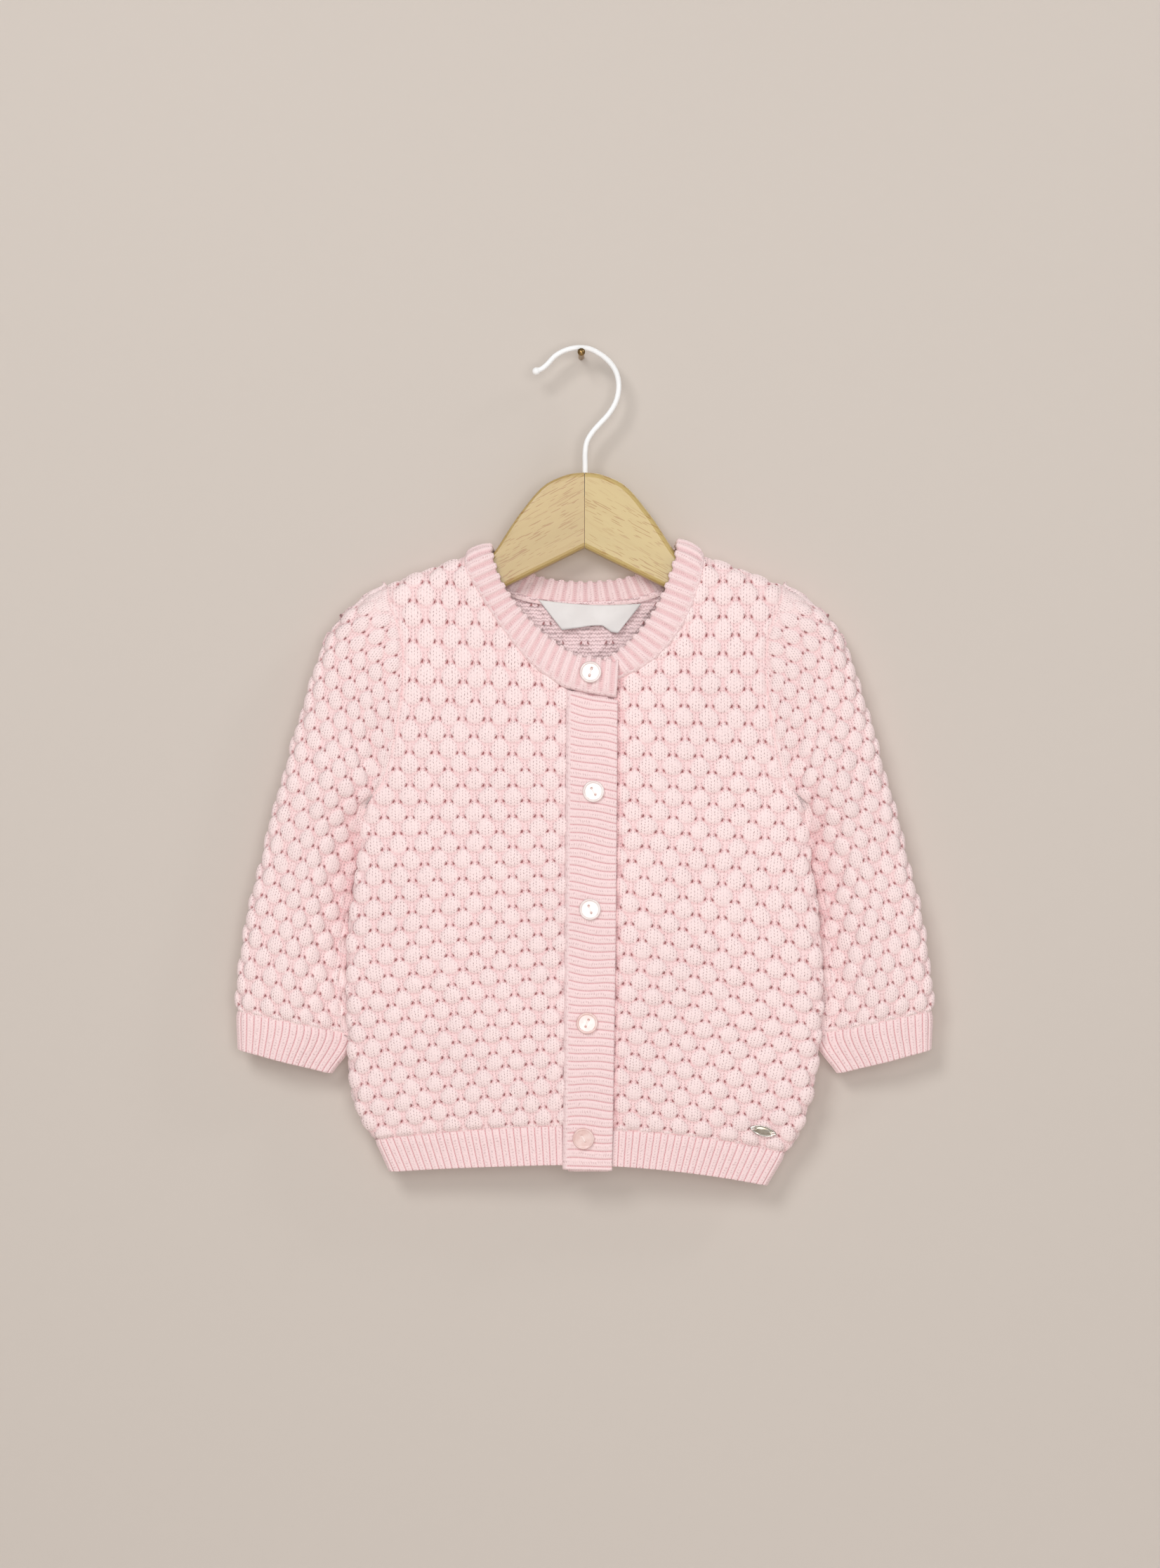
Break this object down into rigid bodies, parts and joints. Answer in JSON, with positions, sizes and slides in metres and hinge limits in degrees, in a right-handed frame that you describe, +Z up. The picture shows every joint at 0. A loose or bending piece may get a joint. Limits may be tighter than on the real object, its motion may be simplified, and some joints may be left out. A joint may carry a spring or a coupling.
{
  "type": "baby cardigan on hanger",
  "caption": "Long-sleeved baby cardigan in bubble knit with ribbed edges, buttoned up the front and hanging on a small wooden hanger with a wire hook.",
  "frame": {"origin": "inside of the hook's crown, where the nail or rail touches the wire", "axes": "+X to the right as the front is seen, the front faces -Y, +Z up"},
  "size_m": [0.3672, 0.0306, 0.4427],
  "materials": {
    "bubble_knit": "soft matt cotton knit with raised bubbles and small eyelets",
    "rib_knit": "matt ribbed knit",
    "pearl": "pearly",
    "label_tape": "bare woven satin tape",
    "polished_metal": "polished",
    "beech": "clear satin lacquer",
    "white_paint": "smooth white coating"
  },
  "bodies": {
    "root": {"back": "bubble_knit", "button_1": "pearl", "button_2": "pearl", "button_3": "pearl", "button_4": "pearl", "button_5": "pearl", "button_band": "rib_knit", "button_band_under": "rib_knit", "cuff_left": "rib_knit", "cuff_right": "rib_knit", "front_left": "bubble_knit", "front_right": "bubble_knit", "hanger_arm_left": "beech", "hanger_arm_right": "beech", "hem_rib_back": "rib_knit", "hem_rib_front_left": "rib_knit", "hem_rib_front_right": "rib_knit", "hook": "white_paint", "metal_plate": "polished_metal", "neck_label": "label_tape", "neckband": "rib_knit", "sleeve_left": "bubble_knit", "sleeve_right": "bubble_knit"}
  },
  "joints": []
}
